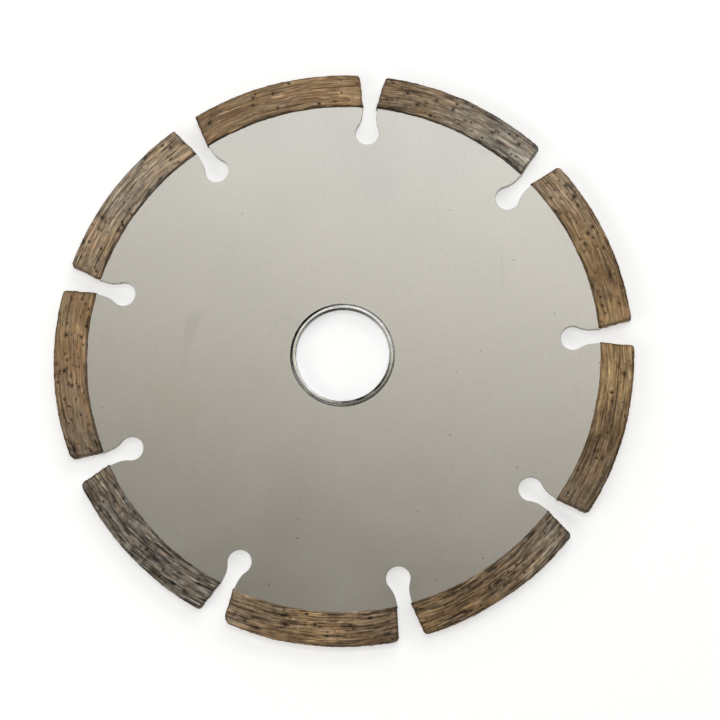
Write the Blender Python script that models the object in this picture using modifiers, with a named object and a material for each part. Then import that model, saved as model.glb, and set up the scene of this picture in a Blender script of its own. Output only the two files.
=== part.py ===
"""Segmented diamond blade: a steel core with nine sintered segments and a reducing bush in its bore.

The blade lies flat. +Z runs along the arbor bore, the origin is the bore's centre at mid thickness, and
the first gullet opens towards +Y. Under each segment the core's rim is thinned to a tongue with a row of
anchor holes. The segment closes over the tongue, and its plugs stand in the holes. The bush is a loose
ring, flush with the core's faces, that narrows the core's bore for a smaller spindle.
"""

import math

import bmesh
import bpy
from mathutils import Matrix, Vector

BLADE_DIAMETER = 0.125
BORE_DIAMETER = 0.02223
SEGMENT_COUNT = 9
CORE_THICKNESS = 0.0016
SEGMENT_THICKNESS = 0.0022
SEGMENT_HEIGHT = 0.00725  # radial depth that can be worn away, foot to rim
BORE_CHAMFER = 0.0002
JOINT_GAP = 0.0003  # bond line between the core and a segment

BUSH_BORE_DIAMETER = 0.020
BUSH_THICKNESS = CORE_THICKNESS
BUSH_EDGE_RADIUS = 0.0003
BUSH_CLEARANCE = 0.00005  # between the bush and the core's bore, all round

GULLET_HOLE_RADIUS = 0.0026
GULLET_HOLE_DISTANCE = 0.04955  # from the arbor's axis to the middle of the gullet's round hole
GULLET_NECK_WIDTH = 0.0031
GULLET_BLEND_RADIUS = 0.006

GAP_AT_FOOT = 0.00265  # between two segments, measured across the gullet
GAP_AT_RIM = 0.0054
SEGMENT_CORNER_RADIUS = 0.0008

TONGUE_THICKNESS = 0.0007
TONGUE_LENGTH = 0.003  # how far the tongue reaches past the core's shoulder
TONGUE_ROOT = 0.002  # how far the tongue is carried back inside the core, to join it
TONGUE_HALF_ANGLE = math.radians(16.8)
ANCHOR_HOLE_RADIUS = 0.00075
ANCHOR_HOLES = 4
ANCHOR_SPREAD = math.radians(24)  # from a tongue's first anchor hole to its last

CORE_STEPS = 144
BUSH_STEPS = 72
ARC_STEP = math.radians(2)
HOLE_SIDES = 16
CUT_OVERRUN = 0.002  # how far a cutter passes the faces that it cuts

BLADE_RADIUS = BLADE_DIAMETER / 2
FOOT_RADIUS = BLADE_RADIUS - SEGMENT_HEIGHT
SHOULDER_RADIUS = FOOT_RADIUS - JOINT_GAP
TONGUE_RADIUS = SHOULDER_RADIUS + TONGUE_LENGTH
ANCHOR_RADIUS = SHOULDER_RADIUS + TONGUE_LENGTH / 2
PITCH = math.tau / SEGMENT_COUNT
MERGE = 0.000001


def clear_scene():
    for obj in list(bpy.data.objects):
        bpy.data.objects.remove(obj, do_unlink=True)
    for name in ("diamond_blade", "cutters"):
        old = bpy.data.collections.get(name)
        if old:
            bpy.data.collections.remove(old)


def new_collection(name):
    collection = bpy.data.collections.new(name)
    bpy.context.scene.collection.children.link(collection)
    return collection


def metal(name, color, roughness, metallic):
    material = bpy.data.materials.new(name)
    material.use_nodes = True
    shader = material.node_tree.nodes["Principled BSDF"]
    shader.inputs["Base Color"].default_value = (*color, 1)
    shader.inputs["Roughness"].default_value = roughness
    shader.inputs["Metallic"].default_value = metallic
    return material


def polar(radius, angle):
    """The point at this distance from the arbor's axis, with the angle counted from +Y."""
    return (-radius * math.sin(angle), radius * math.cos(angle))


def arc(center, radius, start, end, step=ARC_STEP):
    """Points of a round stretch, ends included, with the angles counted from +X."""
    count = max(2, math.ceil(abs(end - start) / step))
    points = []
    for i in range(count + 1):
        angle = start + (end - start) * i / count
        points.append((center[0] + radius * math.cos(angle), center[1] + radius * math.sin(angle)))
    return points


def slab(name, outline, thickness):
    """A flat plate with this closed outline, centred on z = 0, as a mesh object in no collection."""
    curve = bpy.data.curves.new(name, "CURVE")
    curve.dimensions = "2D"
    curve.fill_mode = "BOTH"
    curve.extrude = thickness / 2
    spline = curve.splines.new("POLY")
    spline.points.add(len(outline) - 1)
    for point, (x, y) in zip(spline.points, outline):
        point.co = (x, y, 0, 1)
    spline.use_cyclic_u = True
    outline_object = bpy.data.objects.new(name + "_outline", curve)
    bpy.context.scene.collection.objects.link(outline_object)
    evaluated = outline_object.evaluated_get(bpy.context.evaluated_depsgraph_get())
    mesh = bpy.data.meshes.new_from_object(evaluated)
    mesh.name = name
    plate = bpy.data.objects.new(name, mesh)
    plate.matrix_world = outline_object.matrix_world
    bpy.data.objects.remove(outline_object, do_unlink=True)
    weld(mesh)
    return plate


def weld(mesh):
    shape = bmesh.new()
    shape.from_mesh(mesh)
    bmesh.ops.remove_doubles(shape, verts=shape.verts, dist=MERGE)
    bmesh.ops.recalc_face_normals(shape, faces=shape.faces)
    shape.to_mesh(mesh)
    shape.free()


def ring_of(name, seed, angles):
    """One object that holds a copy of the seed's mesh turned to each angle. The seed is removed."""
    shape = bmesh.new()
    for angle in angles:
        seed.data.transform(Matrix.Rotation(angle, 4, "Z"))
        shape.from_mesh(seed.data)
        seed.data.transform(Matrix.Rotation(-angle, 4, "Z"))
    mesh = bpy.data.meshes.new(name)
    shape.to_mesh(mesh)
    shape.free()
    bpy.data.objects.remove(seed, do_unlink=True)
    return bpy.data.objects.new(name, mesh)


def pins(name, radius, length, places):
    """Upright round pins, all in one object, centred on z = 0."""
    shape = bmesh.new()
    for x, y in places:
        bmesh.ops.create_cone(
            shape,
            cap_ends=True,
            segments=HOLE_SIDES,
            radius1=radius,
            radius2=radius,
            depth=length,
            matrix=Matrix.Translation(Vector((x, y, 0))),
        )
    mesh = bpy.data.meshes.new(name)
    shape.to_mesh(mesh)
    shape.free()
    return bpy.data.objects.new(name, mesh)


def keep_as_cutter(obj, cutters):
    cutters.objects.link(obj)
    obj.hide_render = True
    obj.display_type = "WIRE"
    return obj


def combine(obj, other, operation):
    boolean = obj.modifiers.new(other.name, "BOOLEAN")
    boolean.operation = operation
    boolean.solver = "EXACT"
    boolean.object = other


def turned(name, profile, steps):
    """A closed profile of (radius, height) points, turned about the arbor's axis."""
    mesh = bpy.data.meshes.new(name)
    edges = [(i, (i + 1) % len(profile)) for i in range(len(profile))]
    mesh.from_pydata([(radius, 0, z) for radius, z in profile], edges, [])
    ring = bpy.data.objects.new(name, mesh)
    screw = ring.modifiers.new("turn", "SCREW")
    screw.axis = "Z"
    screw.angle = math.tau
    screw.steps = steps
    screw.render_steps = steps
    screw.use_merge_vertices = True
    screw.merge_threshold = MERGE
    return ring


def core_profile():
    """The core before it is cut: a plain disc with a chamfered bore."""
    half = CORE_THICKNESS / 2
    bore = BORE_DIAMETER / 2
    return [
        (bore + BORE_CHAMFER, half),
        (SHOULDER_RADIUS, half),
        (SHOULDER_RADIUS, -half),
        (bore + BORE_CHAMFER, -half),
        (bore, -half + BORE_CHAMFER),
        (bore, half - BORE_CHAMFER),
    ]


def bush_profile():
    """A flat ring with its four edges rounded."""
    inner = BUSH_BORE_DIAMETER / 2 + BUSH_EDGE_RADIUS
    outer = BORE_DIAMETER / 2 - BUSH_CLEARANCE - BUSH_EDGE_RADIUS
    height = BUSH_THICKNESS / 2 - BUSH_EDGE_RADIUS
    quarter = math.pi / 2
    corners = [(outer, height), (outer, -height), (inner, -height), (inner, height)]
    points = []
    for turn, corner in enumerate(corners):
        points += arc(corner, BUSH_EDGE_RADIUS, quarter * (1 - turn), -quarter * turn, step=quarter / 3)
    return points


def gullet_outline():
    """A keyhole open towards +Y: a round hole that blends into a straight neck."""
    half_neck = GULLET_NECK_WIDTH / 2
    reach = GULLET_HOLE_RADIUS + GULLET_BLEND_RADIUS
    blend_x = half_neck + GULLET_BLEND_RADIUS
    blend_y = GULLET_HOLE_DISTANCE + math.sqrt(reach**2 - blend_x**2)
    touch = math.atan2(blend_y - GULLET_HOLE_DISTANCE, blend_x)
    fine = math.radians(7)
    hole = arc(
        (0, GULLET_HOLE_DISTANCE),
        GULLET_HOLE_RADIUS,
        math.pi - touch,
        math.tau + touch,
        step=math.radians(15),
    )
    right = arc((blend_x, blend_y), GULLET_BLEND_RADIUS, math.pi + touch, math.pi, step=fine)
    mouth = BLADE_RADIUS + CUT_OVERRUN
    outline = hole + right[1:]
    outline.append((half_neck, mouth))
    outline.append((-half_neck, mouth))
    outline += [(-x, y) for x, y in reversed(right[1:])]
    return outline


def arc_band_outline(inner, outer, half_angle):
    """A band between two arcs about the arbor's axis, cut square at its ends."""
    low = math.pi / 2 - half_angle
    high = math.pi / 2 + half_angle
    return arc((0, 0), outer, low, high) + arc((0, 0), inner, high, low)


def rounded_corner(before, corner, after, radius):
    """Points that replace a corner by a round stretch, as a curve through its two ends."""
    to_before = (Vector(before) - Vector(corner)).normalized()
    to_after = (Vector(after) - Vector(corner)).normalized()
    half = to_before.angle(to_after) / 2
    run = radius / math.tan(half)
    first = Vector(corner) + to_before * run
    last = Vector(corner) + to_after * run
    middle = Vector(corner) + (to_before + to_after).normalized() * radius / math.sin(half)
    points = []
    for i in range(5):
        toward = first.lerp(last, i / 4) - middle
        points.append(tuple(middle + toward.normalized() * radius))
    return points


def segment_outline():
    """A segment centred on +Y: its ends lean away from the gullets, and its outer corners are round."""
    foot_half_gap = GAP_AT_FOOT / 2
    rim_half_gap = GAP_AT_RIM / 2
    foot_angle = PITCH / 2 - math.asin(foot_half_gap / FOOT_RADIUS)
    rim_angle = PITCH / 2 - math.asin(rim_half_gap / BLADE_RADIUS)
    corner_turn = 2 * SEGMENT_CORNER_RADIUS / BLADE_RADIUS
    up = math.pi / 2
    rim = arc((0, 0), BLADE_RADIUS, up - rim_angle + corner_turn, up + rim_angle - corner_turn)
    foot = arc((0, 0), FOOT_RADIUS, up + foot_angle, up - foot_angle)
    left = rounded_corner(rim[-1], polar(BLADE_RADIUS, rim_angle), foot[0], SEGMENT_CORNER_RADIUS)
    right = [(-x, y) for x, y in reversed(left)]
    return rim + left + foot + right


def anchor_places(first_angle):
    """Where the anchor holes of one tongue stand, for a tongue whose middle is at this angle from +Y."""
    step = ANCHOR_SPREAD / (ANCHOR_HOLES - 1)
    return [
        polar(ANCHOR_RADIUS, first_angle - ANCHOR_SPREAD / 2 + step * i) for i in range(ANCHOR_HOLES)
    ]


def segment_angles():
    return [PITCH * (i + 0.5) for i in range(SEGMENT_COUNT)]


def build_core(parts, cutters, steel):
    core = turned("steel_core", core_profile(), CORE_STEPS)
    parts.objects.link(core)

    tongue_outline = arc_band_outline(SHOULDER_RADIUS - TONGUE_ROOT, TONGUE_RADIUS, TONGUE_HALF_ANGLE)
    tongue = slab("tongue", tongue_outline, TONGUE_THICKNESS)
    tongues = keep_as_cutter(ring_of("tongues", tongue, segment_angles()), cutters)
    combine(core, tongues, "UNION")

    deep = CORE_THICKNESS + 2 * CUT_OVERRUN
    gullet = slab("gullet", gullet_outline(), deep)
    gullet_angles = [PITCH * i for i in range(SEGMENT_COUNT)]
    gullets = keep_as_cutter(ring_of("gullets", gullet, gullet_angles), cutters)
    combine(core, gullets, "DIFFERENCE")

    places = [place for angle in segment_angles() for place in anchor_places(angle)]
    holes = keep_as_cutter(pins("anchor_holes", ANCHOR_HOLE_RADIUS, deep, places), cutters)
    combine(core, holes, "DIFFERENCE")

    core.data.materials.append(steel)
    return core


def build_bush(parts, steel):
    bush = turned("reducing_bush", bush_profile(), BUSH_STEPS)
    parts.objects.link(bush)
    bush.data.materials.append(steel)
    return bush


def segment_mesh(parts, cutters):
    """The mesh that all segments share: a block centred on +Y, grooved and plugged to sit on a tongue."""
    block = slab("segment_block", segment_outline(), SEGMENT_THICKNESS)
    parts.objects.link(block)

    groove_half_angle = TONGUE_HALF_ANGLE + JOINT_GAP / FOOT_RADIUS
    groove_outline = arc_band_outline(
        FOOT_RADIUS - CUT_OVERRUN, TONGUE_RADIUS + JOINT_GAP, groove_half_angle
    )
    groove_width = TONGUE_THICKNESS + 2 * JOINT_GAP
    groove = keep_as_cutter(slab("groove", groove_outline, groove_width), cutters)
    combine(block, groove, "DIFFERENCE")

    plug_length = (groove_width + SEGMENT_THICKNESS) / 2
    plug_radius = ANCHOR_HOLE_RADIUS - JOINT_GAP
    plugs = keep_as_cutter(pins("plugs", plug_radius, plug_length, anchor_places(0)), cutters)
    combine(block, plugs, "UNION")

    evaluated = block.evaluated_get(bpy.context.evaluated_depsgraph_get())
    mesh = bpy.data.meshes.new_from_object(evaluated)
    bpy.data.objects.remove(block, do_unlink=True)
    return mesh


def build_segments(parts, cutters, bronze):
    mesh = segment_mesh(parts, cutters)
    mesh.name = "segment"
    mesh.materials.append(bronze)
    for number, angle in enumerate(segment_angles(), start=1):
        segment = bpy.data.objects.new(f"segment_{number}", mesh)
        segment.rotation_euler.z = angle
        parts.objects.link(segment)


def shade_round(mesh):
    mesh.shade_smooth()
    mesh.set_sharp_from_angle(angle=math.radians(30))


def main():
    clear_scene()
    parts = new_collection("diamond_blade")
    cutters = new_collection("cutters")
    steel = metal("satin_steel", (0.50, 0.48, 0.44), 0.38, 1.0)
    plated = metal("plated_steel", (0.62, 0.61, 0.58), 0.2, 1.0)
    bronze = metal("sintered_bronze", (0.24, 0.16, 0.09), 0.62, 0.7)
    core = build_core(parts, cutters, steel)
    bush = build_bush(parts, plated)
    build_segments(parts, cutters, bronze)
    for mesh in (core.data, bush.data, bpy.data.meshes["segment"]):
        shade_round(mesh)


main()
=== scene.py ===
"""Looks of the segmented diamond blade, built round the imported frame.

The blade lies flat on a pale floor. Its core, its bush and its nine sintered segments replace the plain CAD
solids, at the same sizes, with their fine surface shape made here. Lengths with the suffix _MM are in
millimetres, and MM turns them into the frame's metres.
"""

import math

import bmesh
import bpy
import numpy as np
from mathutils import Matrix, Vector


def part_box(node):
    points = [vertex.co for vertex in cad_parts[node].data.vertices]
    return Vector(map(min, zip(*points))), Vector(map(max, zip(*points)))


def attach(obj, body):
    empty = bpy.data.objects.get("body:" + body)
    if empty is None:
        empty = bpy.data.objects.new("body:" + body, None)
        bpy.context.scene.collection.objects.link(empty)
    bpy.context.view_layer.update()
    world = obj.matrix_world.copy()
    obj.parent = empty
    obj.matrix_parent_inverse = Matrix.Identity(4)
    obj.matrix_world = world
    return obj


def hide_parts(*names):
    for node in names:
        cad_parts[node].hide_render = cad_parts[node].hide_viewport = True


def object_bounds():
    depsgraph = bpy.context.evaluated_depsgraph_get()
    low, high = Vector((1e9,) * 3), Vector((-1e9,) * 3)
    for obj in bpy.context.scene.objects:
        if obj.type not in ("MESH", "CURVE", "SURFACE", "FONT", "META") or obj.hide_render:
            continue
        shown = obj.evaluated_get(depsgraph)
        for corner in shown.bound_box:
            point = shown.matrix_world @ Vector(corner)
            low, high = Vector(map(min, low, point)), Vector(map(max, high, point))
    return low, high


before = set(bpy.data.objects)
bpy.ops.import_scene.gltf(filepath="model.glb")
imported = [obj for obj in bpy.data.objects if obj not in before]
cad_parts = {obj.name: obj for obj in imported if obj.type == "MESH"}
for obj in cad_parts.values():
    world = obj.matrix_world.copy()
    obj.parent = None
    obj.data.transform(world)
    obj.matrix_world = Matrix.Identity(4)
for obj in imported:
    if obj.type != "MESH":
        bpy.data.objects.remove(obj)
CAD_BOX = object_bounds()

MM = 0.001
SEGMENT_COUNT = 9
PITCH = math.tau / SEGMENT_COUNT


def node_radii(name):
    """Smallest and largest distance of a CAD node's points from the arbor's axis, in millimetres."""
    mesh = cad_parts[name].data
    points = np.empty(len(mesh.vertices) * 3)
    mesh.vertices.foreach_get("co", points)
    radii = np.hypot(points[0::3], points[1::3])
    return radii.min() / MM, radii.max() / MM


def node_thickness(name):
    low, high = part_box(name)
    return (high.z - low.z) / MM


BORE_MM = node_radii("steel_core")[0]
BUSH_INNER_MM, BUSH_OUTER_MM = node_radii("reducing_bush")
FOOT_MM, RIM_MM = node_radii("segment_1")
CORE_THICK_MM = node_thickness("steel_core")
BUSH_THICK_MM = node_thickness("reducing_bush")
SEGMENT_THICK_MM = node_thickness("segment_1")
FLOOR_Z = CAD_BOX[0].z

# Gullets and gaps, as in the CAD.
HOLE_MM = 2.6
HOLE_PLACE_MM = 49.55
NECK_HALF_MM = 1.55
BLEND_MM = 6.0
GAP_HALF_FOOT_MM = 1.325
GAP_HALF_RIM_MM = 2.7

# The core reaches a little way in under the segments, so that no gap shows at the joint.
CORE_REACH_MM = 0.4
BORE_CHAMFER_MM = 0.2
EDGE_BREAK_MM = 0.06
BUSH_EDGE_MM = 0.30
RING_SIDES = 240  # of the bore and of the bush
SHARP_EDGE = math.radians(40)
FLOOR_DROP_MM = 0.08  # the segments' surface marks reach almost this far below the CAD's lowest point


# ---------------------------------------------------------------- helpers


def noise(seed, u, v, w):
    """Smooth noise between -1 and 1 with one cell for each unit of u, v and w."""
    size = 32
    grid = np.random.default_rng(seed).uniform(-1, 1, (size, size, size))
    total = 0
    parts = []
    for value in (u, v, w):
        value = np.asarray(value, float)
        cell = np.floor(value).astype(int)
        part = value - cell
        parts.append((cell, part * part * (3 - 2 * part)))
    (iu, fu), (iv, fv), (iw, fw) = parts
    for du in (0, 1):
        for dv in (0, 1):
            for dw in (0, 1):
                weight = (fu if du else 1 - fu) * (fv if dv else 1 - fv) * (fw if dw else 1 - fw)
                total = total + weight * grid[(iu + du) % size, (iv + dv) % size, (iw + dw) % size]
    return total


def smooth_step(low, high, value):
    t = np.clip((value - low) / (high - low), 0, 1)
    return t * t * (3 - 2 * t)


def node(tree, kind, inputs=None, **settings):
    """Adds a shader node. An input takes a number, a colour or another node's socket."""
    made = tree.nodes.new("ShaderNode" + kind)
    for name, value in settings.items():
        setattr(made, name, value)
    for name, value in (inputs or {}).items():
        if isinstance(value, bpy.types.NodeSocket):
            tree.links.new(value, made.inputs[name])
        else:
            made.inputs[name].default_value = value
    return made


def math_node(tree, operation, a, b=0.0, clamp=False):
    return node(tree, "Math", {0: a, 1: b}, operation=operation, use_clamp=clamp).outputs[0]


def mix_color(tree, factor, a, b, blend="MIX"):
    made = node(tree, "Mix", {0: factor, 6: a, 7: b}, data_type="RGBA", blend_type=blend)
    return made.outputs[2]


def ramp(tree, factor, stops):
    """A colour ramp from (place, colour) stops. A colour is a grey level or three numbers."""
    made = node(tree, "ValToRGB", {0: factor})
    elements = made.color_ramp.elements
    while len(elements) < len(stops):
        elements.new(0.5)
    for element, (place, color) in zip(elements, stops):
        element.position = place
        element.color = (color,) * 3 + (1,) if isinstance(color, (int, float)) else (*color, 1)
    return made.outputs[0]


def scaled(tree, vector, scale, offset=(0, 0, 0)):
    return node(tree, "Mapping", {"Vector": vector, "Scale": scale, "Location": offset}).outputs[0]


def noise_node(tree, vector, scale=1.0, detail=3.0, rough=0.55, **more):
    settings = {"Vector": vector, "Scale": scale, "Detail": detail, "Roughness": rough}
    return node(tree, "TexNoise", {**settings, **more}).outputs[0]


def new_material(name):
    material = bpy.data.materials.new(name)
    material.use_nodes = True
    tree = material.node_tree
    return material, tree, tree.nodes["Principled BSDF"]


# ---------------------------------------------------------------- materials


def steel_face_material():
    """Bead-blasted steel: a warm satin grey with a fine grain, a few specks and faint scratches."""
    material, tree, shader = new_material("blasted_steel")
    place = node(tree, "TexCoord").outputs["Object"]

    cloud = noise_node(tree, place, scale=38, detail=4, rough=0.6)
    grain = noise_node(tree, place, scale=3600, detail=2, rough=0.7)
    mottle = noise_node(tree, place, scale=1100, detail=2, rough=0.6)
    tone = ramp(tree, cloud, [(0.3, (0.565, 0.539, 0.506)), (0.7, (0.625, 0.599, 0.572))])
    grain_tone = ramp(tree, grain, [(0.25, 0.86), (0.75, 1.0)])
    tone = mix_color(tree, 1.0, tone, grain_tone, "MULTIPLY")
    mottle_tone = ramp(tree, mottle, [(0.3, (0.95, 0.955, 0.965)), (0.7, (1.0, 0.995, 0.985))])
    tone = mix_color(tree, 1.0, tone, mottle_tone, "MULTIPLY")

    spots = node(tree, "TexVoronoi", {"Vector": place, "Scale": 200.0}, voronoi_dimensions="2D")
    chosen = node(tree, "SeparateColor", {0: spots.outputs["Color"]})
    spot_size = math_node(tree, "MULTIPLY", chosen.outputs[1], 0.045)
    near = math_node(tree, "LESS_THAN", spots.outputs["Distance"], spot_size)
    rare = math_node(tree, "GREATER_THAN", chosen.outputs[0], 0.86)
    speck = math_node(tree, "MULTIPLY", near, rare)
    speck = math_node(tree, "MULTIPLY", speck, 0.55)
    tone = mix_color(tree, speck, tone, (0.12, 0.10, 0.08, 1))

    # Faint scratches: thin wandering lines, only here and there.
    stretched = scaled(tree, place, (60, 14, 60))
    wave = math_node(tree, "SUBTRACT", noise_node(tree, stretched, detail=1), 0.5)
    line = ramp(tree, math_node(tree, "ABSOLUTE", wave), [(0.002, 1.0), (0.005, 0.0)])
    here = ramp(tree, noise_node(tree, place, scale=70, detail=1), [(0.58, 0.0), (0.64, 0.08)])
    scratch = math_node(tree, "MULTIPLY", line, here)
    tone = mix_color(tree, scratch, tone, (0.05, 0.05, 0.05, 1))

    tree.links.new(tone, shader.inputs["Base Color"])
    shader.inputs["Metallic"].default_value = 1.0
    rough = ramp(tree, cloud, [(0.3, 0.34), (0.7, 0.40)])
    tree.links.new(rough, shader.inputs["Roughness"])
    bump = node(tree, "Bump", {"Strength": 0.16, "Distance": 0.00004, "Height": grain})
    tree.links.new(bump.outputs[0], shader.inputs["Normal"])
    return material


def steel_cut_material():
    """The walls that the laser cut: darker steel with fine marks across the thickness."""
    material, tree, shader = new_material("cut_steel")
    place = node(tree, "TexCoord").outputs["Object"]
    marks = noise_node(tree, scaled(tree, place, (3200, 3200, 250)), detail=3)
    tone = ramp(tree, marks, [(0.3, (0.22, 0.20, 0.18)), (0.75, (0.52, 0.50, 0.46))])
    tree.links.new(tone, shader.inputs["Base Color"])
    shader.inputs["Metallic"].default_value = 1.0
    shader.inputs["Roughness"].default_value = 0.42
    bump = node(tree, "Bump", {"Strength": 0.5, "Distance": 0.00003, "Height": marks})
    tree.links.new(bump.outputs[0], shader.inputs["Normal"])
    return material


def painted_dark_arc(tree, place, tone, heading, fade_from, fade_to):
    """Darkens a tone on one side of the bore with painted shade, standing in for a dark reflection. The
    darkening grows from the first radius to the second, in millimetres, and heading is that side's
    direction, in degrees from +X.
    """
    heading = math.radians(heading)
    toward = (math.cos(heading) / BORE_MM, math.sin(heading) / BORE_MM, 0)
    flat = scaled(tree, place, (1 / MM, 1 / MM, 0))
    radius = node(tree, "VectorMath", {0: flat}, operation="LENGTH").outputs["Value"]
    facing = node(tree, "VectorMath", {0: flat, 1: toward}, operation="DOT_PRODUCT").outputs["Value"]
    ring = node(tree, "MapRange", {0: radius, 1: fade_from, 2: fade_to}).outputs[0]
    side = ramp(tree, facing, [(0.45, 0.0), (0.85, 1.0)])
    uneven = ramp(tree, noise_node(tree, place, scale=700, detail=2), [(0.35, 0.75), (0.55, 1.0)])
    arc_darkness = math_node(tree, "MULTIPLY", math_node(tree, "MULTIPLY", ring, side), uneven)
    # The painted shade: a near-black mix on that side of the bore.
    return mix_color(tree, arc_darkness, tone, (0.015, 0.013, 0.011, 1))


def bright_material(name, dark, light, rough_range):
    """Bright metal, dulled a little in clouds, with a fine grain and painted dark reflections in arcs round
    the joint.
    """
    material, tree, shader = new_material(name)
    place = node(tree, "TexCoord").outputs["Object"]
    cloud = noise_node(tree, place, scale=420, detail=3)
    tone = ramp(tree, cloud, [(0.3, dark), (0.7, light)])
    # Painted shade: three dark arcs round the bore stand in for dark reflections of the surroundings.
    tone = painted_dark_arc(tree, place, tone, 165, 10.70, 10.85)
    tone = painted_dark_arc(tree, place, tone, -50, 10.70, 10.50)
    tone = painted_dark_arc(tree, place, tone, 100, 10.20, 10.10)
    tree.links.new(tone, shader.inputs["Base Color"])
    shader.inputs["Metallic"].default_value = 1.0
    rough = ramp(tree, cloud, [(0.3, rough_range[1]), (0.7, rough_range[0])])
    tree.links.new(rough, shader.inputs["Roughness"])
    fine = noise_node(tree, place, scale=5200, detail=2)
    bump = node(tree, "Bump", {"Strength": 0.10, "Distance": 0.00002, "Height": fine})
    tree.links.new(bump.outputs[0], shader.inputs["Normal"])
    return material


def bronze_material():
    """Sintered bronze. The segment's attributes say where it is deep, pitted, rubbed silvery or golden, and
    carry painted light and shade.
    """
    material, tree, shader = new_material("sintered_bronze")

    def attribute(name):
        return node(tree, "Attribute", attribute_name=name)

    grain = attribute("grain").outputs["Vector"]
    relief = attribute("relief").outputs["Fac"]
    pit = attribute("pit").outputs["Fac"]
    silver = attribute("silver").outputs["Fac"]
    gold = attribute("gold").outputs["Fac"]
    edge_shade_and_stain = attribute("edge_shade_and_stain").outputs["Fac"]

    streaks = noise_node(tree, scaled(tree, grain, (0.22, 4.2, 4.2)), detail=4, rough=0.6)
    patches = noise_node(tree, scaled(tree, grain, (0.22, 0.5, 0.5), (7, 3, 0)), detail=2)
    tan = ramp(
        tree,
        streaks,
        [(0.28, (0.165, 0.107, 0.059)), (0.47, (0.33, 0.224, 0.125)), (0.72, (0.50, 0.37, 0.225))],
    )
    rust = mix_color(tree, 1.0, tan, (1.0, 0.87, 0.72, 1), "MULTIPLY")
    tone = mix_color(tree, ramp(tree, patches, [(0.35, 0.0), (0.65, 1.0)]), tan, rust)

    golden = ramp(tree, streaks, [(0.3, (0.27, 0.157, 0.063)), (0.7, (0.72, 0.49, 0.245))])
    tone = mix_color(tree, gold, tone, golden)
    grey = ramp(
        tree,
        streaks,
        [(0.3, (0.17, 0.15, 0.124)), (0.5, (0.36, 0.324, 0.275)), (0.75, (0.64, 0.59, 0.515))],
    )
    tone = mix_color(tree, silver, tone, grey)

    # Painted light and shade: the relief attribute brightens raised marks and darkens grooves, besides the
    # tone it carries.
    lit = ramp(tree, relief, [(0.0, 0.16), (0.3, 0.60), (0.55, 1.0), (0.78, 1.36), (1.0, 2.1)])
    tone = mix_color(tree, 1.0, tone, lit, "MULTIPLY")
    # Painted shade: the pits are painted near black.
    tone = mix_color(tree, pit, tone, (0.024, 0.013, 0.008, 1))
    # Painted shade along the ends, the rim edge and the foot darkens the tone here, together with the real
    # stains.
    edge_shade_and_stain_tone = mix_color(tree, 1.0, tone, (0.24, 0.22, 0.20, 1), "MULTIPLY")
    tone = mix_color(tree, edge_shade_and_stain, tone, edge_shade_and_stain_tone)
    tree.links.new(tone, shader.inputs["Base Color"])

    shader.inputs["Metallic"].default_value = 0.4
    rough = ramp(tree, relief, [(0.3, 0.78), (0.85, 0.42)])
    tree.links.new(rough, shader.inputs["Roughness"])
    crumbs = noise_node(tree, scaled(tree, grain, (5, 14, 14)), detail=4, rough=0.65)
    bump = node(tree, "Bump", {"Strength": 0.45, "Distance": 0.00006, "Height": crumbs})
    tree.links.new(bump.outputs[0], shader.inputs["Normal"])
    return material


# ---------------------------------------------------------------- steel core


def arc(center, radius, start, end, count):
    """Points along an arc, with both of its ends."""
    angles = np.linspace(start, end, count + 1)
    return [(center[0] + radius * math.cos(a), center[1] + radius * math.sin(a)) for a in angles]


def core_edge(inset):
    """The core's edge with its keyhole gullets, anticlockwise, with the metal drawn back by inset."""
    blend_x = NECK_HALF_MM + BLEND_MM
    rise = math.sqrt((HOLE_MM + BLEND_MM) ** 2 - blend_x**2)
    touch = math.atan2(rise, blend_x)
    neck = NECK_HALF_MM + inset
    outer = FOOT_MM + CORE_REACH_MM - inset
    mouth = math.asin(neck / outer)

    blend_y = HOLE_PLACE_MM + rise
    right = arc((blend_x, blend_y), BLEND_MM - inset, math.pi, math.pi + touch, 12)
    hole = arc((0, HOLE_PLACE_MM), HOLE_MM + inset, touch, -math.pi - touch, 64)
    left = [(-x, y) for x, y in right[::-1]]
    rim = arc((0, 0), outer, math.pi / 2 + mouth, math.pi / 2 + PITCH - mouth, 48)
    pattern = right + hole[1:-1] + left + rim
    return [
        Matrix.Rotation(PITCH * number, 2) @ Vector(point)
        for number in range(SEGMENT_COUNT)
        for point in pattern
    ]


def bore_edge(inset):
    return [Vector(point) for point in arc((0, 0), BORE_MM + inset, 0, math.tau, RING_SIDES)[:-1]]


def rounded_edge(width, steps):
    """(inset, height) pairs from the upper flat face, round its broken edge, down to mid height."""
    half = CORE_THICK_MM / 2
    turns = [math.pi / 2 * k / steps for k in range(steps + 1)]
    rounding = [(width * (1 - math.sin(t)), half - width * (1 - math.cos(t))) for t in turns]
    return rounding + [(0, 0)]


def skin_between(shape, rings):
    """Joins closed rings of vertices one to the next with quads."""
    for ring, following in zip(rings, rings[1:]):
        for k in range(len(ring)):
            shape.faces.new((ring[k - 1], ring[k], following[k], following[k - 1]))


def mesh_object(name, shape):
    mesh = bpy.data.meshes.new(name)
    shape.to_mesh(mesh)
    shape.free()
    made = bpy.data.objects.new(name, mesh)
    bpy.context.scene.collection.objects.link(made)
    return made


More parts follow.
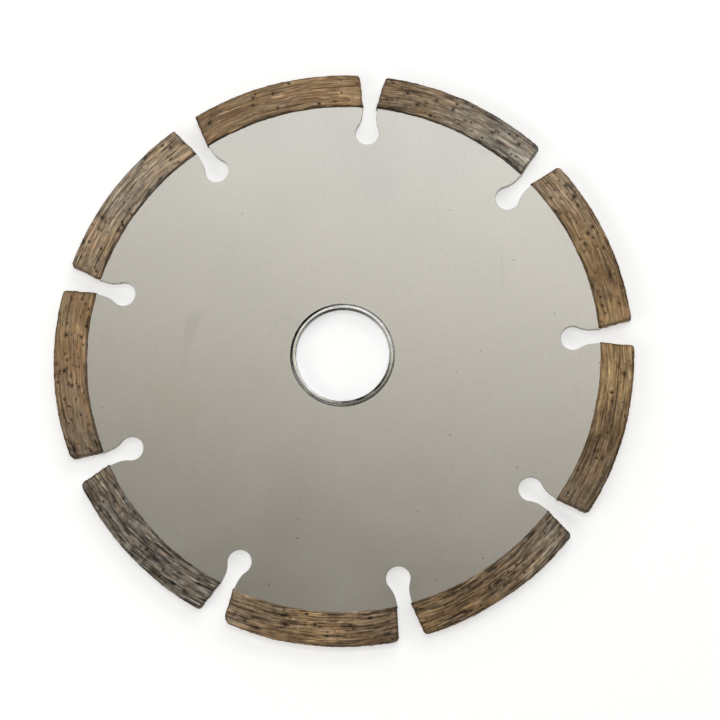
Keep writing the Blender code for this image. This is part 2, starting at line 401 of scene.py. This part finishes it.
def build_core():
    """The disc with its bore chamfered, its gullets cut and every edge broken a little."""
    half_thick = CORE_THICK_MM / 2
    chamfer = [(BORE_CHAMFER_MM, half_thick), (0, half_thick - BORE_CHAMFER_MM), (0, 0)]
    shape = bmesh.new()
    flats = []
    for edge, profile in ((core_edge, rounded_edge(EDGE_BREAK_MM, 3)), (bore_edge, chamfer)):
        steps = profile + [(inset, -height) for inset, height in profile[-2::-1]]
        rings = []
        for inset, height in steps:
            rings.append([shape.verts.new((p.x * MM, p.y * MM, height * MM)) for p in edge(inset)])
        skin_between(shape, rings)
        flats.append((rings[0], rings[-1]))
    for side in (0, 1):
        loops = [flat[side] for flat in flats]
        edges = [shape.edges.get((loop[k - 1], loop[k])) for loop in loops for k in range(len(loop))]
        bmesh.ops.triangle_fill(shape, edges=edges, use_beauty=True)
    bmesh.ops.recalc_face_normals(shape, faces=shape.faces)
    core = mesh_object("blade_core", shape)

    core.data.materials.append(steel_face_material())
    core.data.materials.append(steel_cut_material())
    core.data.materials.append(
        bright_material("machined_chamfer", (0.50, 0.48, 0.44), (0.68, 0.66, 0.62), (0.16, 0.26))
    )
    core.data.set_sharp_from_angle(angle=SHARP_EDGE)
    for face in core.data.polygons:
        flat = abs(face.normal.z) > 0.999
        face.use_smooth = not flat
        in_bore = math.hypot(face.center.x, face.center.y) < (BORE_MM + 2 * BORE_CHAMFER_MM) * MM
        face.material_index = 0 if flat else 2 if in_bore else 1
    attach(core, "root")
    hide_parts("steel_core")


def build_bush():
    """The loose ring in the bore: plated, with all of its edges well rounded."""
    middle = (BUSH_INNER_MM + BUSH_OUTER_MM) / 2
    half_wide, half_thick = (BUSH_OUTER_MM - BUSH_INNER_MM) / 2, BUSH_THICK_MM / 2
    profile = []
    for turn, (side, up) in enumerate(((1, 1), (-1, 1), (-1, -1), (1, -1))):
        corner = (middle + side * (half_wide - BUSH_EDGE_MM), up * (half_thick - BUSH_EDGE_MM))
        profile += arc(corner, BUSH_EDGE_MM, math.pi / 2 * turn, math.pi / 2 * (turn + 1), 8)
    shape = bmesh.new()
    rings = []
    for radius, height in profile:
        points = arc((0, 0), radius, 0, math.tau, RING_SIDES)[:-1]
        rings.append([shape.verts.new((x * MM, y * MM, height * MM)) for x, y in points])
    skin_between(shape, rings + rings[:1])
    bmesh.ops.recalc_face_normals(shape, faces=shape.faces)
    bush = mesh_object("bush_ring", shape)
    bush.data.materials.append(
        bright_material("bright_plating", (0.44, 0.44, 0.45), (0.62, 0.63, 0.65), (0.20, 0.30))
    )
    bush.data.shade_smooth()
    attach(bush, "root")
    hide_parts("reducing_bush")


# ---------------------------------------------------------------- segments

# How each segment has worn, as judged. tone, silver and gold are words for how bright it is and how much
# of it is rubbed grey or golden, at LOOK_PLACES, from its left end to its right end.
# slant: how far the grinding marks climb, in mm per mm.
# marks, lumps, glints: strength of the marks, of the coarse lumps and of the bright ridges, whose brightness
# and silver tint are painted highlights.
# pits: grains fallen out of each face. foot: how dark the painted shadow along the foot is; it is darkest on
# the upper segments, whose foot faces away from the light.
# ends: how far each end falls short, in mm. corners: radii of the outer corners, in mm.
# stains: (along, up, length, width, strength), the places as shares of the half length and half height, and
# the sizes in mm.
# tone is partly each segment's own wear and partly painted light: it is set higher on the upper segments,
# nearer the light, than on the lower ones.
LOOK_PLACES = (-0.8, -0.4, 0.0, 0.4, 0.8)
LEVELS = {
    "tone": {"dark": 0.4, "dull": 0.5, "mid": 0.6, "pale": 0.7, "bright": 0.8},
    "silver": {"none": 0.0, "trace": 0.1, "some": 0.3, "half": 0.6, "full": 0.9},
    "gold": {"none": 0.0, "trace": 0.1, "some": 0.3, "half": 0.6, "full": 0.9},
}
PLAIN = "none none none none none"
LOOKS = {
    1: dict(
        tone="mid mid pale pale pale", silver="none none trace none none", gold="none none none trace some",
        slant=0.0, marks=0.7, lumps=0.4, glints=0.3, pits=15, foot=1.0, ends=(0.0, 0.3), corners=(0.5, 0.8),
        stains=((0.8, -0.6, 0.9, 0.5, 0.7), (-0.8, 0.6, 2.5, 0.5, 0.4)),
    ),
    2: dict(
        tone="pale bright pale bright bright", silver="some some half half some", gold=PLAIN,
        slant=0.0, marks=1.0, lumps=0.6, glints=0.9, pits=35, foot=0.9, ends=(0.3, 0.2), corners=(0.6, 0.5),
        stains=((0.9, 0.7, 0.9, 0.7, 0.5),),
    ),
    3: dict(
        tone="dull pale pale pale pale", silver="some trace trace none none", gold=PLAIN,
        slant=0.04, marks=0.6, lumps=0.5, glints=0.1, pits=60, foot=0.8, ends=(0.4, 0.0), corners=(1.2, 0.9),
        stains=((-0.9, 0.7, 2.2, 1.1, 0.8), (0.0, 0.8, 0.9, 0.5, 0.7)),
    ),
    4: dict(
        tone="dark dark dark dark dull", silver="full full full full half", gold=PLAIN,
        slant=0.07, marks=1.2, lumps=0.7, glints=0.8, pits=25, foot=0.4, ends=(0.4, 0.0), corners=(0.9, 1.0),
        stains=((0.2, 0.7, 1.2, 0.5, 0.7), (0.4, -0.8, 2.0, 0.5, 0.5)),
    ),
    5: dict(
        tone="dark mid mid dull mid", silver="trace trace none trace some", gold="none none full some none",
        slant=0.03, marks=1.2, lumps=0.7, glints=0.6, pits=25, foot=0.3, ends=(0.4, 0.0), corners=(0.9, 1.4),
        stains=((-0.4, -0.2, 1.3, 0.7, 0.8), (0.3, -0.4, 1.0, 0.9, 0.6)),
    ),
    6: dict(
        tone="dull mid dull dark dark", silver="half some trace none none", gold="none none none trace some",
        slant=0.05, marks=1.3, lumps=0.7, glints=1.0, pits=20, foot=0.4, ends=(0.3, 0.0), corners=(0.7, 0.8),
        stains=((-0.6, -0.8, 2.5, 0.4, 0.8),),
    ),
    7: dict(
        tone="mid mid dark dull dull", silver="none none none trace some", gold="full full some trace none",
        slant=0.02, marks=0.7, lumps=0.5, glints=0.5, pits=20, foot=0.4, ends=(0.0, 0.1), corners=(0.6, 0.9),
        stains=((-0.8, 0.8, 1.6, 0.6, 0.6), (0.6, 0.8, 5.0, 0.9, 0.5)),
    ),
    8: dict(
        tone="bright mid mid dark mid", silver="some trace none none none", gold="none trace half some half",
        slant=0.0, marks=0.6, lumps=0.5, glints=0.2, pits=40, foot=0.8, ends=(0.0, 0.4), corners=(0.9, 0.5),
        stains=((0.7, 0.8, 2.6, 0.6, 0.8), (-0.7, 0.8, 1.6, 0.6, 0.7)),
    ),
    9: dict(
        tone="dull mid mid mid pale", silver="trace some half full full", gold=PLAIN,
        slant=0.03, marks=0.7, lumps=0.6, glints=0.6, pits=40, foot=1.0, ends=(0.0, 0.4), corners=(0.7, 0.8),
        stains=((0.8, -0.8, 1.8, 0.5, 0.8), (-0.2, 0.8, 1.6, 0.5, 0.6)),
    ),
}

HALF_LONG_MM = 18.2  # half of a segment's length, at mid height
GRID = (250, 92, 14)  # points along, up and through a segment
PITS_ALONG_MM = 17.5  # how far from the middle of a segment pits lie
PITS_UP_MM = (-3.2, 3.3)
RIM_PITS = 40
STROKES_ALONG_MM = 18.0
MARK_DEPTH_MM = 0.035
PIT_DEPTH_MM = 0.14
STAIN_DEPTH_MM = 0.08
HALF_HIGH_MM = (RIM_MM - FOOT_MM) / 2
HALF_THICK_MM = SEGMENT_THICK_MM / 2
EDGE_ROUND_MM = 0.26


def lattice_lines(half, count, edge):
    """Places of the grid lines along one side of a block, closer together where its edges are rounded."""
    inner = np.linspace(-half + edge, half - edge, count)
    near_edge = half - edge * np.array([0, 0.25, 0.5, 0.75])
    return np.concatenate([-near_edge, inner, near_edge[::-1]])


def block_surface(counts):
    """Lattice points and outward quads of a block's surface, with counts points along each side."""
    quads = []
    for axis in range(3):
        a, b = [k for k in range(3) if k != axis]
        i, j = np.meshgrid(np.arange(counts[a] - 1), np.arange(counts[b] - 1), indexing="ij")
        for side in (0, counts[axis] - 1):
            corners = []
            for di, dj in ((0, 0), (1, 0), (1, 1), (0, 1)):
                corner = np.empty((*i.shape, 3), int)
                corner[..., a] = i + di
                corner[..., b] = j + dj
                corner[..., axis] = side
                corners.append(corner)
            if (side == 0) != (axis == 1):
                corners.reverse()
            quads.append(np.stack(corners, axis=2).reshape(-1, 4, 3))
    quads = np.concatenate(quads)
    points, index = np.unique(quads.reshape(-1, 3), axis=0, return_inverse=True)
    return points, index.reshape(-1, 4)


def round_corner(a, b, half_a, half_b, radius):
    """Moves points of a rectangle's corner squares, of side radius, into quarter discs."""
    da = np.clip(np.abs(a) - (half_a - radius), 0, None)
    db = np.clip(np.abs(b) - (half_b - radius), 0, None)
    length = np.hypot(da, db)
    shrink = np.where(length > 0, np.maximum(da, db) / np.where(length > 0, length, 1), 1)
    a = np.where((da > 0) & (db > 0), np.sign(a) * (half_a - radius + da * shrink), a)
    b = np.where((da > 0) & (db > 0), np.sign(b) * (half_b - radius + db * shrink), b)
    return a, b


def surface_pits(rng, look, x, y, z):
    """How deep each point lies in a pit, from 0 to 1, for pits strewn over both faces and the rim."""
    depth = np.zeros_like(x)
    uneven = 1 + 0.35 * noise(5, x / 0.22, y / 0.22, z / 0.22)
    for face in (1, -1):
        for _ in range(look["pits"]):
            center = (
                rng.uniform(-PITS_ALONG_MM, PITS_ALONG_MM),
                rng.uniform(*PITS_UP_MM),
                face * HALF_THICK_MM,
            )
            width = rng.uniform(0.14, 0.42)
            length = width * rng.uniform(0.9, 1.5)
            distance = np.hypot((x - center[0]) / length, (y - center[1]) / width)
            distance = uneven * np.hypot(distance, (z - center[2]) / 0.3)
            depth = np.maximum(depth, np.exp(-(distance**3)) * rng.uniform(0.55, 1.0))
    for _ in range(RIM_PITS):
        center = (rng.uniform(-PITS_ALONG_MM, PITS_ALONG_MM), rng.uniform(-0.9, 0.9))
        width = rng.uniform(0.1, 0.24)
        distance = np.hypot((x - center[0]) / (width * 1.5), (z - center[1]) / width)
        distance = np.hypot(distance, (y - HALF_HIGH_MM) / 0.4)
        depth = np.maximum(depth, np.exp(-(distance**3)) * rng.uniform(0.5, 1.0))
    return depth


def strokes(rng, x, lane, count, longest, width):
    """Scratches along the segment, from 0 to 1, each with its own lane, length and strength."""
    marks = np.zeros_like(x)
    last_lane = 3 * HALF_HIGH_MM + SEGMENT_THICK_MM
    for _ in range(count):
        center = rng.uniform(-STROKES_ALONG_MM, STROKES_ALONG_MM)
        place = rng.uniform(-HALF_HIGH_MM, last_lane)
        half_long = longest / 2 * rng.uniform(0.15, 1) ** 1.5
        half_wide = width / 2 * rng.uniform(0.7, 1.5)
        near = (np.abs(lane - place) < 3 * half_wide) & (np.abs(x - center) < half_long)
        taper = 1 - ((x[near] - center) / half_long) ** 2
        mark = rng.uniform(0.4, 1) * taper * np.exp(-(((lane[near] - place) / half_wide) ** 2))
        marks[near] = np.maximum(marks[near], mark)
    return marks


def stain_marks(look, x, y, z):
    """Dark crumbled places on the front face, from 0 to 1."""
    marks = np.zeros_like(x)
    crumbled = 0.75 + 0.9 * noise(9, x / 0.45, y / 0.3, z / 0.5)
    for along, up, long, wide, strength in look["stains"]:
        distance = np.hypot((x - along * HALF_LONG_MM) / long, (y - up * HALF_HIGH_MM) / wide)
        marks = np.maximum(marks, strength * smooth_step(1.5, 0.5, distance) * np.clip(crumbled, 0, 1))
    return marks * smooth_step(0, 0.4, z)


def worn(look, name, place):
    """A look's words for tone, silver or gold as numbers, blended from one of LOOK_PLACES to the next."""
    levels = [LEVELS[name][word] for word in look[name].split()]
    return np.interp(place, LOOK_PLACES, levels)


def build_segment(number, material):
    look = LOOKS[number]
    seed = 100 * number
    rng = np.random.default_rng(seed)
    halves = (HALF_LONG_MM, HALF_HIGH_MM, HALF_THICK_MM)
    lines = [lattice_lines(half, count, EDGE_ROUND_MM) for half, count in zip(halves, GRID)]
    lattice, quads = block_surface([len(line) for line in lines])
    x, y, z = (lines[k][lattice[:, k]] for k in range(3))
    flat_x = x

    # Outward direction of each point, in the block's own axes.
    outward = np.stack(
        [
            np.sign(p) * np.clip((np.abs(p) - (half - EDGE_ROUND_MM)) / EDGE_ROUND_MM, 0, 1)
            for p, half in zip((x, y, z), halves)
        ],
        axis=1,
    )
    outward /= np.linalg.norm(outward, axis=1)[:, None]

    # Marks of grinding: bands and fine furrows along the segment, dark scratches and bright ridges, whose
    # dark is painted shade and whose bright is a painted highlight. The girth runs on from the front face
    # over the rim to the back, so the scratches do too.
    girth = np.where(z > 0, y, 2 * HALF_HIGH_MM - y) + np.where(z < HALF_THICK_MM, HALF_THICK_MM - z, 0)
    wander = 0.15 * noise(seed + 1, x / 6, girth / 2.2, 0 * z)
    wander += 0.05 * noise(seed + 2, x / 1.3, girth / 0.8, 0 * z)
    lane = girth - look["slant"] * x + wander
    fine = noise(seed + 3, x / 2.0, lane / 0.20, 0 * z)
    bands = noise(seed + 4, x / 4.0, lane / 0.38, 0 * z)
    broad = noise(seed + 5, x / 2.8, lane / 1.3, 0 * z)
    count = int(90 * look["marks"])
    on_flat = smooth_step(0.1, 0.6, HALF_LONG_MM - np.abs(x))
    grooves = on_flat * strokes(rng, x, lane, count, 15, 0.16)
    ridges = on_flat * strokes(rng, x, lane, int(100 * look["glints"]), 7, 0.14)
    lumps = 0.6 * noise(seed + 6, x / 0.7, lane / 0.5, z / 0.5)
    lumps += 0.4 * noise(seed + 7, x / 0.35, lane / 0.3, z / 0.3)

    along = x / HALF_LONG_MM
    patch = along + 0.25 * noise(seed + 8, x / 3, y / 1.6, z / 2)
    tone, silver, gold = (worn(look, name, patch) for name in ("tone", "silver", "gold"))
    silver *= 0.9 + 0.3 * noise(seed + 9, x / 1.5, y / 0.7, z)
    # Painted highlights: the bright ridges are tinted silver.
    silver = np.maximum(silver, 0.75 * ridges)
    pit = surface_pits(rng, look, x, y, z)
    marks = 0.78 * fine + 0.5 * bands + 0.25 * broad
    relief = look["marks"] * marks + look["lumps"] * lumps + 1.3 * ridges - 1.6 * grooves
    stain = stain_marks(look, x, y, z)
    height = MARK_DEPTH_MM * relief - PIT_DEPTH_MM * pit - STAIN_DEPTH_MM * stain

    # The sides that were never ground: the two ends, the foot and the rim's torn edge. They are shaped rough
    # here and darkened with painted shade.
    short_left, short_right = look["ends"]
    from_end = HALF_LONG_MM - np.abs(x)
    from_foot = y + HALF_HIGH_MM
    from_rim = HALF_HIGH_MM - y
    ragged = noise(seed + 10, x / 0.9, y / 0.9, z / 0.9)
    end = smooth_step(0.65, 0.10, from_end + 0.2 * ragged)
    foot = smooth_step(0.74, 0.2, from_foot + 0.35 * noise(seed + 12, x / 1.5, z / 2, 0 * y))
    rim = smooth_step(0.60, 0.10, from_rim + 0.2 * ragged)
    teeth = 0.6 * noise(seed + 11, x / 0.42, y / 3, z / 0.6)
    teeth += 0.4 * noise(seed + 13, x / 1.3, y / 3, z / 1.1)
    flash = 0.5 * noise(seed + 15, x / 2.6, z / 3, 0 * y) + 0.5 * noise(seed + 16, x / 0.7, z / 1.5, 0 * y)
    side = 1 - np.abs(outward[:, 2])
    height += side * (rim * (0.17 * teeth - 0.06) + foot * 0.14 * flash + end * 0.12 * ragged)
    height += side * rim * 0.1 * noise(seed + 14, x / 8, z / 4, 0 * y)
    # Painted shade along the ends, the rim edge and the foot, plus the real stains.
    edge_shade_and_stain = np.clip(0.7 * end + look["foot"] * foot + 0.65 * rim + stain, 0, 1)
    # The relief attribute holds the tone plus painted light and shade from the marks.
    shade = tone - 0.02 + 0.34 * relief

    # Round the block, bend it round the arbor's axis and raise its surface.
    x, z = round_corner(x, z, HALF_LONG_MM, HALF_THICK_MM, EDGE_ROUND_MM)
    y, z = round_corner(y, z, HALF_HIGH_MM, HALF_THICK_MM, EDGE_ROUND_MM)
    corner = np.where(x < 0, look["corners"][0], look["corners"][1])
    corner = np.where(y > 0, corner, 0.16)
    x, y = round_corner(x, y, HALF_LONG_MM, HALF_HIGH_MM, corner)
    x = x - np.where(x < 0, short_left, short_right) * along

    x_in, y_in = x + outward[:, 0] * height, y + outward[:, 1] * height
    z_in = z + outward[:, 2] * height
    radius = FOOT_MM + HALF_HIGH_MM + y_in
    share = (radius - FOOT_MM) / (RIM_MM - FOOT_MM)
    gap = GAP_HALF_FOOT_MM + (GAP_HALF_RIM_MM - GAP_HALF_FOOT_MM) * share
    angle = x_in / HALF_LONG_MM * (PITCH / 2 - np.arcsin(gap / radius))
    points = np.stack([radius * np.sin(angle), radius * np.cos(angle), z_in], axis=1) * MM

    mesh = bpy.data.meshes.new(f"sintered_segment_{number}")
    mesh.from_pydata(points.tolist(), [], quads.tolist())
    mesh.transform(Matrix.Rotation(PITCH * (number - 0.5), 4, "Z"))
    values = {"relief": shade, "pit": pit, "silver": silver, "gold": gold, "edge_shade_and_stain": edge_shade_and_stain}
    for name, value in values.items():
        layer = mesh.attributes.new(name, "FLOAT", "POINT")
        layer.data.foreach_set("value", np.clip(value, 0, 1).astype(np.float32))
    layer = mesh.attributes.new("grain", "FLOAT_VECTOR", "POINT")
    drift = np.stack([flat_x + 60 * number, lane, z], axis=1)
    layer.data.foreach_set("vector", drift.astype(np.float32).ravel())
    mesh.materials.append(material)
    mesh.shade_smooth()
    segment = bpy.data.objects.new(f"sintered_segment_{number}", mesh)
    bpy.context.scene.collection.objects.link(segment)
    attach(segment, "root")
    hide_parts(f"segment_{number}")


# ---------------------------------------------------------------- stage


FLOOR_HALF = 3.0  # metres
SOFTBOX_DISTANCE = 0.9  # metres


def build_floor():
    """A plain white floor that the blade rests on."""
    shape = bmesh.new()
    bmesh.ops.create_grid(shape, x_segments=1, y_segments=1, size=FLOOR_HALF)
    floor = mesh_object("floor", shape)
    floor.location.z = FLOOR_Z - FLOOR_DROP_MM * MM
    material, tree, shader = new_material("white_floor")
    shader.inputs["Base Color"].default_value = (0.9, 0.9, 0.9, 1)
    shader.inputs["Roughness"].default_value = 0.9
    shader.inputs["Emission Color"].default_value = (1, 1, 1, 1)
    shader.inputs["Emission Strength"].default_value = 0.52
    floor.data.materials.append(material)


def softbox(name, heading, height, size, power, color):
    """A soft light that faces the blade. Heading (clockwise from +Y) and height are in degrees."""
    heading, height = math.radians(heading), math.radians(height)
    level = math.cos(height)
    toward = Vector((math.sin(heading) * level, math.cos(heading) * level, math.sin(height)))
    data = bpy.data.lights.new(name, "AREA")
    data.shape = "RECTANGLE"
    data.size, data.size_y = size
    data.energy = power
    data.color = color
    light = bpy.data.objects.new(name, data)
    light.location = toward * SOFTBOX_DISTANCE
    light.rotation_euler = toward.to_track_quat("Z", "Y").to_euler()
    bpy.context.scene.collection.objects.link(light)


def build_lights():
    softbox("window_softbox", 4, 68, (0.9, 0.25), 1.14, (0.86, 1.0, 1.25))
    softbox("warm_softbox", 4, 74, (0.9, 0.25), 0.72, (1.18, 1.0, 0.55))
    softbox("low_back_fill", 15, 32, (0.9, 0.3), 2.0, (1.0, 0.99, 0.97))
    softbox("low_left_fill", -110, 30, (0.7, 0.3), 1.5, (1.0, 0.98, 0.95))
    softbox("low_front_fill", 190, 32, (0.5, 0.25), 0.7, (1.0, 0.96, 0.90))

    # A studio that is bright round the horizon and dim overhead.
    world = bpy.data.worlds.new("studio")
    bpy.context.scene.world = world
    world.use_nodes = True
    tree = world.node_tree
    upward = node(tree, "SeparateXYZ", {0: node(tree, "TexCoord").outputs["Generated"]}).outputs["Z"]
    sky = ramp(tree, upward, [(0.0, 0.95), (0.22, 0.90), (0.42, 0.06), (1.0, 0.03)])
    tree.links.new(sky, tree.nodes["Background"].inputs["Color"])


def build_camera():
    """The photographed view: from above the blade's near edge, turned a little about the arbor's axis."""
    tilt, lean, turn = math.radians(-10.55), math.radians(-2.57), math.radians(-6.2)
    blade_in_view = Vector((-3.71 * MM, 0.96 * MM, -538.3 * MM))
    to_view = (
        Matrix.Translation(blade_in_view)
        @ Matrix.Rotation(tilt, 4, "X")
        @ Matrix.Rotation(lean, 4, "Y")
        @ Matrix.Rotation(turn, 4, "Z")
    )
    data = bpy.data.cameras.new("camera")
    data.sensor_width = 36
    data.lens = 125
    data.clip_start = 0.01
    camera = bpy.data.objects.new("camera", data)
    camera.matrix_world = to_view.inverted()
    bpy.context.scene.collection.objects.link(camera)
    bpy.context.scene.camera = camera


build_camera()
build_core()
build_bush()
bronze = bronze_material()
for segment_number in LOOKS:
    build_segment(segment_number, bronze)
build_floor()
build_lights()
bpy.context.scene.view_settings.view_transform = "Standard"
